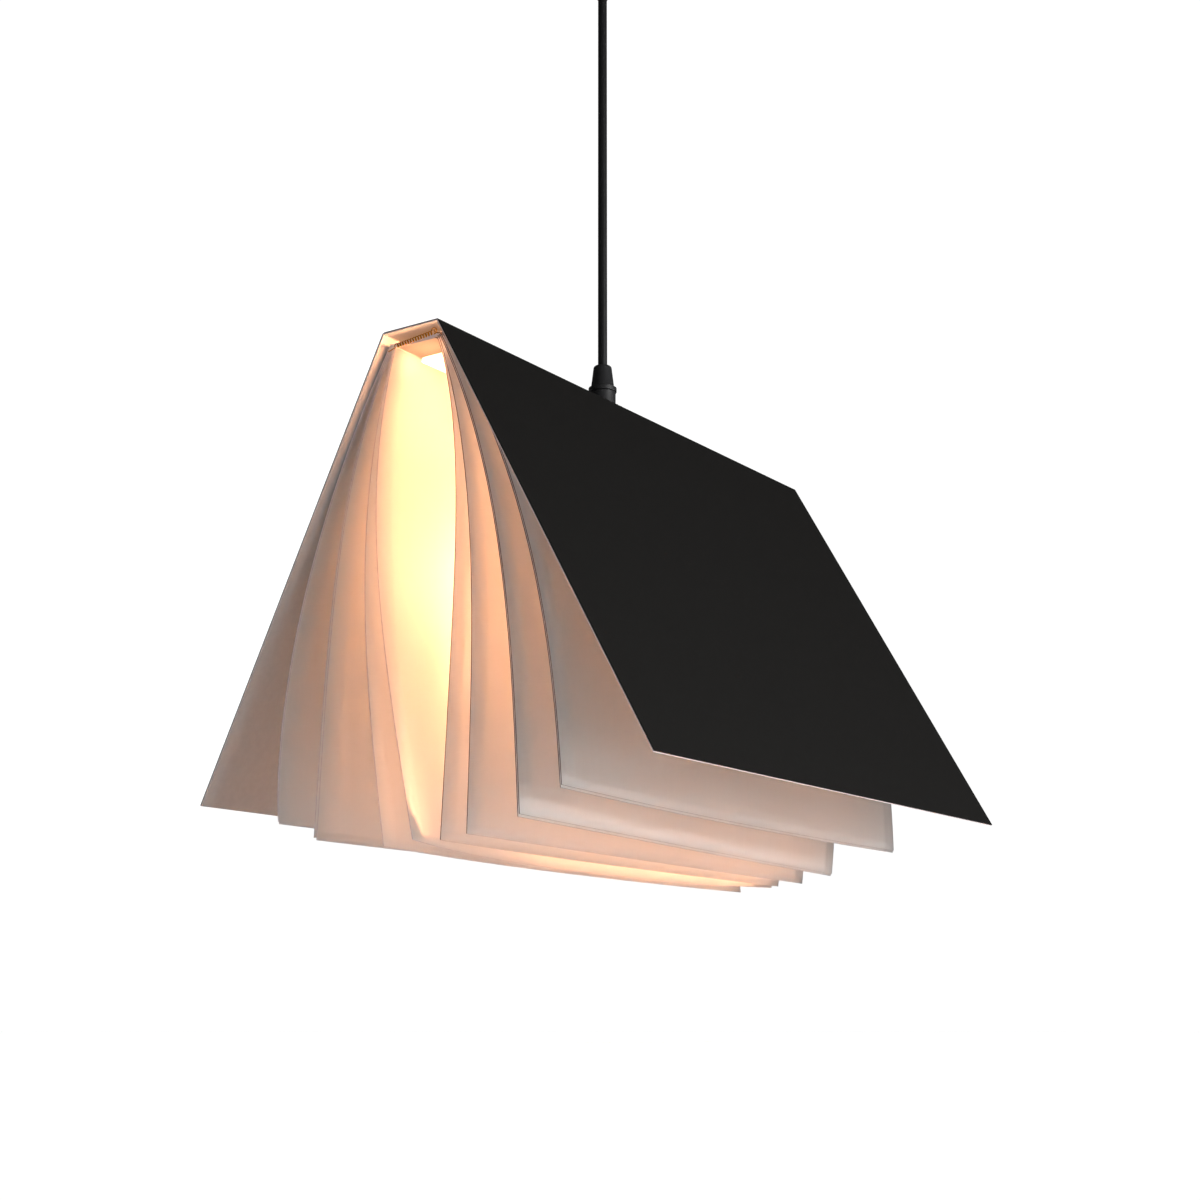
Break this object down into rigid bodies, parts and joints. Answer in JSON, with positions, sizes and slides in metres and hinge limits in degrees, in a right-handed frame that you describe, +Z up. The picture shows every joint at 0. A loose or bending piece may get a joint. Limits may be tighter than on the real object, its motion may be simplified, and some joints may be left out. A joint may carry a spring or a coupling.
{
  "type": "book pendant light",
  "caption": "Pendant light in the shape of an open book: black cover, translucent page leaves on a spine, bulb between them, on a cord from a ceiling canopy.",
  "frame": {"origin": "middle of the ceiling bracket's top face, on the cord's axis, where the light is screwed to the ceiling", "axes": "+Z up, into the ceiling; X across the book, from its left cover to its right one; +Y along the spine, away from the viewer"},
  "size_m": [0.3165, 0.42, 0.6645],
  "materials": {
    "zinc_steel": "zinc plated",
    "black_coat": "black powder coat",
    "black_plastic": "fine moulded",
    "black_rubber": "smooth",
    "cream_ceramic": "glazed",
    "brown_core": "insulation",
    "blue_core": "insulation",
    "cover_sheet": "satin black outside, pale inside",
    "frosted_sheet": "frosted, translucent",
    "white_plate": "white, satin",
    "brass": "bright",
    "bulb_metal": "bright plated",
    "bulb_black": "black glass",
    "opal_glass": "opal white"
  },
  "bodies": {
    "ceiling_fitting": {"ceiling_bracket": "zinc_steel", "canopy_cup": "black_coat", "canopy_screw_right": "zinc_steel", "canopy_screw_left": "zinc_steel", "terminal_block": "cream_ceramic", "canopy_core_brown": "brown_core", "canopy_core_blue": "blue_core", "canopy_grip": "black_plastic", "canopy_grip_nut": "black_plastic", "canopy_cord_tail": "black_rubber"},
    "boot": {"cord_boot": "black_rubber"},
    "cord": {"supply_cord": "black_rubber"},
    "lamp": {"cord_grip_cone": "black_plastic", "lock_nut": "black_plastic", "spacer_ring": "white_plate", "cover_spine": "cover_sheet", "page_strip_1": "frosted_sheet", "page_strip_2": "frosted_sheet", "page_strip_3": "frosted_sheet", "page_strip_4": "frosted_sheet", "page_strip_5": "frosted_sheet", "page_strip_6": "frosted_sheet", "support_plate": "white_plate", "spring_front": "brass", "spring_rear": "brass", "spring_link_front": "brass", "spring_link_rear": "brass", "holder_cap": "black_plastic", "holder_sleeve": "black_plastic", "holder_insert": "cream_ceramic", "holder_thread": "brass", "holder_contact": "brass", "lamp_cord_tail": "black_rubber"},
    "cover_right": {"cover_flap_right": "cover_sheet"},
    "cover_left": {"cover_flap_left": "cover_sheet"},
    "bulb": {"bulb_cap": "bulb_metal", "bulb_insulator": "bulb_black", "bulb_tip": "bulb_metal", "bulb_globe": "opal_glass"},
    "inner_leaf_right": {"leaf_right_1": "frosted_sheet"},
    "second_leaf_right": {"leaf_right_2": "frosted_sheet"},
    "third_leaves_right": {"leaf_right_3": "frosted_sheet", "leaf_right_4": "frosted_sheet"},
    "outer_leaves_right": {"leaf_right_5": "frosted_sheet", "leaf_right_6": "frosted_sheet"},
    "inner_leaf_left": {"leaf_left_1": "frosted_sheet"},
    "second_leaf_left": {"leaf_left_2": "frosted_sheet"},
    "third_leaves_left": {"leaf_left_3": "frosted_sheet", "leaf_left_4": "frosted_sheet"},
    "outer_leaves_left": {"leaf_left_5": "frosted_sheet", "leaf_left_6": "frosted_sheet"}
  },
  "joints": [
    {"name": "cord_swing_side", "type": "hinge", "parent": "ceiling_fitting", "child": "boot", "pos_m": [0, 0, -0.0567], "axis": [1, 0, 0], "range_deg": [-12, 12]},
    {"name": "cord_swing_across", "type": "hinge", "parent": "boot", "child": "cord", "pos_m": [0, 0, -0.0667], "axis": [0, 1, 0], "range_deg": [-12, 12]},
    {"name": "lamp_turn", "type": "hinge", "parent": "cord", "child": "lamp", "pos_m": [0, 0, -0.3342], "axis": [0, 0, 1], "range_deg": [-180, 180]},
    {"name": "cover_right_fold", "type": "hinge", "parent": "lamp", "child": "cover_right", "pos_m": [0.02045, 0, -0.368], "axis": [0, -1, 0], "range_deg": [0, 60]},
    {"name": "cover_left_fold", "type": "hinge", "parent": "lamp", "child": "cover_left", "pos_m": [-0.02022, 0, -0.36838], "axis": [0, 1, 0], "range_deg": [0, 60]},
    {"name": "bulb_out", "type": "slide", "parent": "lamp", "child": "bulb", "axis": [0, 0, -1], "range_m": [0, 0.03]},
    {"name": "inner_leaf_right_crease", "type": "hinge", "parent": "lamp", "child": "inner_leaf_right", "pos_m": [0.0156, 0, -0.37635], "axis": [0, -1, 0], "range_deg": [-0.4, 2], "stiffness_Nm_per_rad": 0.4, "springref_deg": 0.45},
    {"name": "second_leaf_right_crease", "type": "hinge", "parent": "lamp", "child": "second_leaf_right", "pos_m": [0.0164, 0, -0.37585], "axis": [0, -1, 0], "range_deg": [-2, 4], "stiffness_Nm_per_rad": 0.4, "springref_deg": 1.6},
    {"name": "third_leaves_right_crease", "type": "hinge", "parent": "lamp", "child": "third_leaves_right", "pos_m": [0.0172, 0, -0.37535], "axis": [0, -1, 0], "range_deg": [-4, 5], "stiffness_Nm_per_rad": 0.8, "springref_deg": 3.08},
    {"name": "outer_leaves_right_crease", "type": "hinge", "parent": "lamp", "child": "outer_leaves_right", "pos_m": [0.0188, 0, -0.37435], "axis": [0, -1, 0], "range_deg": [-5, 0.1], "stiffness_Nm_per_rad": 0.8, "springref_deg": 4.58},
    {"name": "inner_leaf_left_crease", "type": "hinge", "parent": "lamp", "child": "inner_leaf_left", "pos_m": [-0.0156, 0, -0.37635], "axis": [0, 1, 0], "range_deg": [-0.4, 1.5], "stiffness_Nm_per_rad": 0.4, "springref_deg": 0.92},
    {"name": "second_leaf_left_crease", "type": "hinge", "parent": "lamp", "child": "second_leaf_left", "pos_m": [-0.0164, 0, -0.37585], "axis": [0, 1, 0], "range_deg": [-1.5, 5], "stiffness_Nm_per_rad": 0.4, "springref_deg": 1.56},
    {"name": "third_leaves_left_crease", "type": "hinge", "parent": "lamp", "child": "third_leaves_left", "pos_m": [-0.0172, 0, -0.37535], "axis": [0, 1, 0], "range_deg": [-5, 3], "stiffness_Nm_per_rad": 0.8, "springref_deg": 3.16},
    {"name": "outer_leaves_left_crease", "type": "hinge", "parent": "lamp", "child": "outer_leaves_left", "pos_m": [-0.0188, 0, -0.37435], "axis": [0, 1, 0], "range_deg": [-3, 0.1], "stiffness_Nm_per_rad": 0.8, "springref_deg": 4.55}
  ]
}
